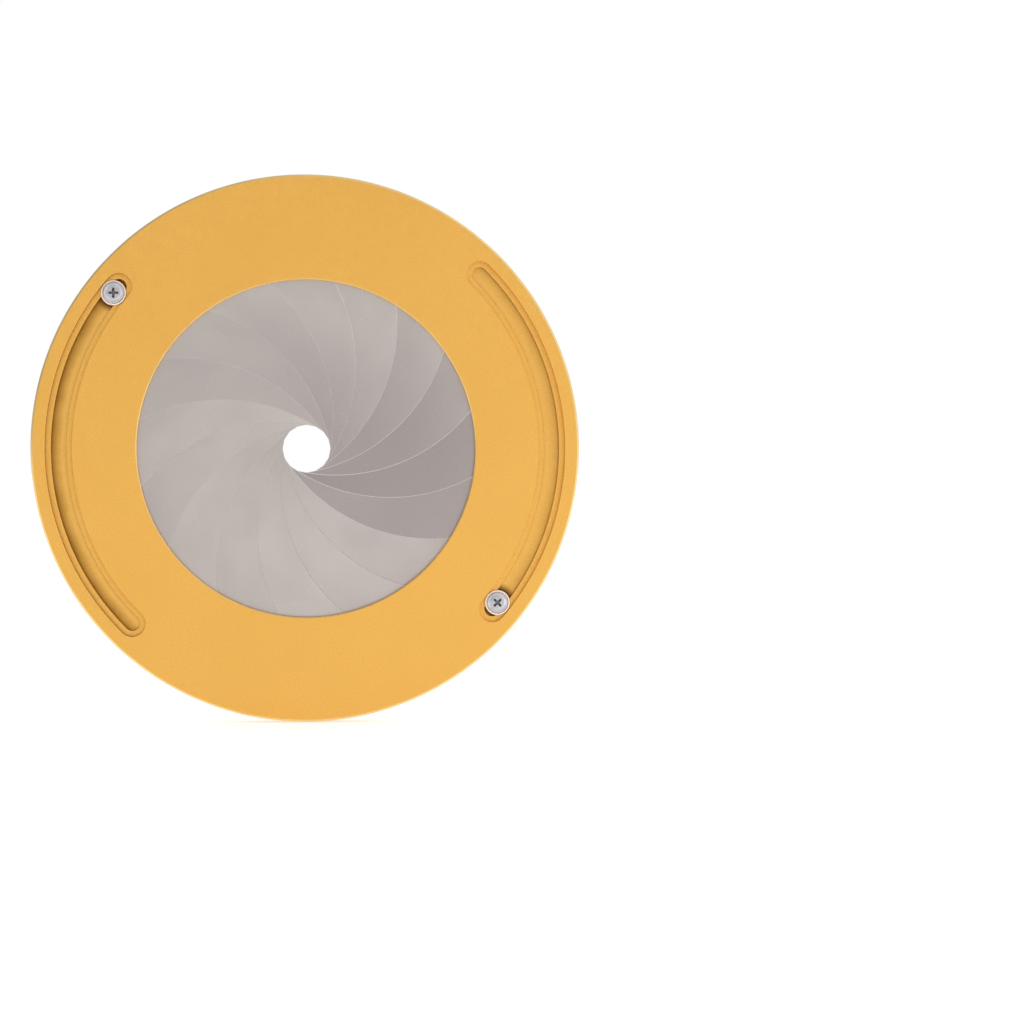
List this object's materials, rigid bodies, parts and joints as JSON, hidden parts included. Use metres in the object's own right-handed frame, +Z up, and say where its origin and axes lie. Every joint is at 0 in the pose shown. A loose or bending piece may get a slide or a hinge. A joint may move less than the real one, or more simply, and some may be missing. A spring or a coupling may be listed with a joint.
{
  "type": "adjustable iris circle template",
  "caption": "Round aluminium drawing template whose overlapping steel blades close like an iris to a circular hole, set by turning a graduated ring.",
  "frame": {"origin": "centre of the disc, halfway through its thickness", "axes": "+Y along the disc's axis, out of the graduated face; -Y out of the back plate with the arc slots; +Z up in the plane of the disc, which stands on its rim; +X to the right seen from the back"},
  "size_m": [0.1198, 0.006, 0.1198],
  "materials": {
    "gold_anodised": "bead-blasted and gold anodised, with bright turned edges",
    "gold_anodised_scale": "fine satin gold anodised, with laser-marked graduations",
    "blade_steel": "rolled stainless sheet, satin",
    "pin_steel": "plain turned",
    "sleeve_brass": "plain turned",
    "screw_steel": "bright"
  },
  "bodies": {
    "housing": {"back_housing": "gold_anodised"},
    "dial": {"scale_disc": "gold_anodised_scale", "guide_sleeve_a": "sleeve_brass", "clamp_screw_a": "screw_steel", "guide_sleeve_b": "sleeve_brass", "clamp_screw_b": "screw_steel"},
    "leaf_01": {"blade_01": "blade_steel", "pivot_pin_01": "pin_steel", "drive_pin_01": "pin_steel"},
    "leaf_02": {"blade_02": "blade_steel", "pivot_pin_02": "pin_steel", "drive_pin_02": "pin_steel"},
    "leaf_03": {"blade_03": "blade_steel", "pivot_pin_03": "pin_steel", "drive_pin_03": "pin_steel"},
    "leaf_04": {"blade_04": "blade_steel", "pivot_pin_04": "pin_steel", "drive_pin_04": "pin_steel"},
    "leaf_05": {"blade_05": "blade_steel", "pivot_pin_05": "pin_steel", "drive_pin_05": "pin_steel"},
    "leaf_06": {"blade_06": "blade_steel", "pivot_pin_06": "pin_steel", "drive_pin_06": "pin_steel"},
    "leaf_07": {"blade_07": "blade_steel", "pivot_pin_07": "pin_steel", "drive_pin_07": "pin_steel"},
    "leaf_08": {"blade_08": "blade_steel", "pivot_pin_08": "pin_steel", "drive_pin_08": "pin_steel"},
    "leaf_09": {"blade_09": "blade_steel", "pivot_pin_09": "pin_steel", "drive_pin_09": "pin_steel"},
    "leaf_10": {"blade_10": "blade_steel", "pivot_pin_10": "pin_steel", "drive_pin_10": "pin_steel"},
    "leaf_11": {"blade_11": "blade_steel", "pivot_pin_11": "pin_steel", "drive_pin_11": "pin_steel"},
    "leaf_12": {"blade_12": "blade_steel", "pivot_pin_12": "pin_steel", "drive_pin_12": "pin_steel"},
    "leaf_13": {"blade_13": "blade_steel", "pivot_pin_13": "pin_steel", "drive_pin_13": "pin_steel"},
    "leaf_14": {"blade_14": "blade_steel", "pivot_pin_14": "pin_steel", "drive_pin_14": "pin_steel"},
    "leaf_15": {"blade_15": "blade_steel", "pivot_pin_15": "pin_steel", "drive_pin_15": "pin_steel"},
    "leaf_16": {"blade_16": "blade_steel", "pivot_pin_16": "pin_steel", "drive_pin_16": "pin_steel"}
  },
  "joints": [
    {"name": "iris_adjust", "type": "hinge", "parent": "housing", "child": "dial", "pos_m": [0, 0, 0], "axis": [0, -1, 0], "range_deg": [-1.9, 84.1]},
    {"name": "leaf_swing_01", "type": "hinge", "parent": "housing", "child": "leaf_01", "pos_m": [0.04741, -0.0017, 0.00751], "axis": [0, -1, 0], "range_deg": [-1, 40.4]},
    {"name": "leaf_swing_02", "type": "hinge", "parent": "housing", "child": "leaf_02", "pos_m": [0.04093, -0.0017, 0.02508], "axis": [0, -1, 0], "range_deg": [-1, 40.4]},
    {"name": "leaf_swing_03", "type": "hinge", "parent": "housing", "child": "leaf_03", "pos_m": [0.02821, -0.0017, 0.03883], "axis": [0, -1, 0], "range_deg": [-1, 40.4]},
    {"name": "leaf_swing_04", "type": "hinge", "parent": "housing", "child": "leaf_04", "pos_m": [0.01121, -0.0017, 0.04667], "axis": [0, -1, 0], "range_deg": [-1, 40.4]},
    {"name": "leaf_swing_05", "type": "hinge", "parent": "housing", "child": "leaf_05", "pos_m": [-0.00751, -0.0017, 0.04741], "axis": [0, -1, 0], "range_deg": [-1, 40.4]},
    {"name": "leaf_swing_06", "type": "hinge", "parent": "housing", "child": "leaf_06", "pos_m": [-0.02508, -0.0017, 0.04093], "axis": [0, -1, 0], "range_deg": [-1, 40.4]},
    {"name": "leaf_swing_07", "type": "hinge", "parent": "housing", "child": "leaf_07", "pos_m": [-0.03883, -0.0017, 0.02821], "axis": [0, -1, 0], "range_deg": [-1, 40.4]},
    {"name": "leaf_swing_08", "type": "hinge", "parent": "housing", "child": "leaf_08", "pos_m": [-0.04667, -0.0017, 0.01121], "axis": [0, -1, 0], "range_deg": [-1, 40.4]},
    {"name": "leaf_swing_09", "type": "hinge", "parent": "housing", "child": "leaf_09", "pos_m": [-0.04741, -0.0017, -0.00751], "axis": [0, -1, 0], "range_deg": [-1, 40.4]},
    {"name": "leaf_swing_10", "type": "hinge", "parent": "housing", "child": "leaf_10", "pos_m": [-0.04093, -0.0017, -0.02508], "axis": [0, -1, 0], "range_deg": [-1, 40.4]},
    {"name": "leaf_swing_11", "type": "hinge", "parent": "housing", "child": "leaf_11", "pos_m": [-0.02821, -0.0017, -0.03883], "axis": [0, -1, 0], "range_deg": [-1, 40.4]},
    {"name": "leaf_swing_12", "type": "hinge", "parent": "housing", "child": "leaf_12", "pos_m": [-0.01121, -0.0017, -0.04667], "axis": [0, -1, 0], "range_deg": [-1, 40.4]},
    {"name": "leaf_swing_13", "type": "hinge", "parent": "housing", "child": "leaf_13", "pos_m": [0.00751, -0.0017, -0.04741], "axis": [0, -1, 0], "range_deg": [-1, 40.4]},
    {"name": "leaf_swing_14", "type": "hinge", "parent": "housing", "child": "leaf_14", "pos_m": [0.02508, -0.0017, -0.04093], "axis": [0, -1, 0], "range_deg": [-1, 40.4]},
    {"name": "leaf_swing_15", "type": "hinge", "parent": "housing", "child": "leaf_15", "pos_m": [0.03883, -0.0017, -0.02821], "axis": [0, -1, 0], "range_deg": [-1, 40.4]},
    {"name": "leaf_swing_16", "type": "hinge", "parent": "housing", "child": "leaf_16", "pos_m": [0.04667, -0.0017, -0.01121], "axis": [0, -1, 0], "range_deg": [-1, 40.4]}
  ],
  "couplings": [
    {"joint": "leaf_swing_01", "follows": "iris_adjust", "ratio": 0.479},
    {"joint": "leaf_swing_02", "follows": "iris_adjust", "ratio": 0.479},
    {"joint": "leaf_swing_03", "follows": "iris_adjust", "ratio": 0.479},
    {"joint": "leaf_swing_04", "follows": "iris_adjust", "ratio": 0.479},
    {"joint": "leaf_swing_05", "follows": "iris_adjust", "ratio": 0.479},
    {"joint": "leaf_swing_06", "follows": "iris_adjust", "ratio": 0.479},
    {"joint": "leaf_swing_07", "follows": "iris_adjust", "ratio": 0.479},
    {"joint": "leaf_swing_08", "follows": "iris_adjust", "ratio": 0.479},
    {"joint": "leaf_swing_09", "follows": "iris_adjust", "ratio": 0.479},
    {"joint": "leaf_swing_10", "follows": "iris_adjust", "ratio": 0.479},
    {"joint": "leaf_swing_11", "follows": "iris_adjust", "ratio": 0.479},
    {"joint": "leaf_swing_12", "follows": "iris_adjust", "ratio": 0.479},
    {"joint": "leaf_swing_13", "follows": "iris_adjust", "ratio": 0.479},
    {"joint": "leaf_swing_14", "follows": "iris_adjust", "ratio": 0.479},
    {"joint": "leaf_swing_15", "follows": "iris_adjust", "ratio": 0.479},
    {"joint": "leaf_swing_16", "follows": "iris_adjust", "ratio": 0.479}
  ]
}
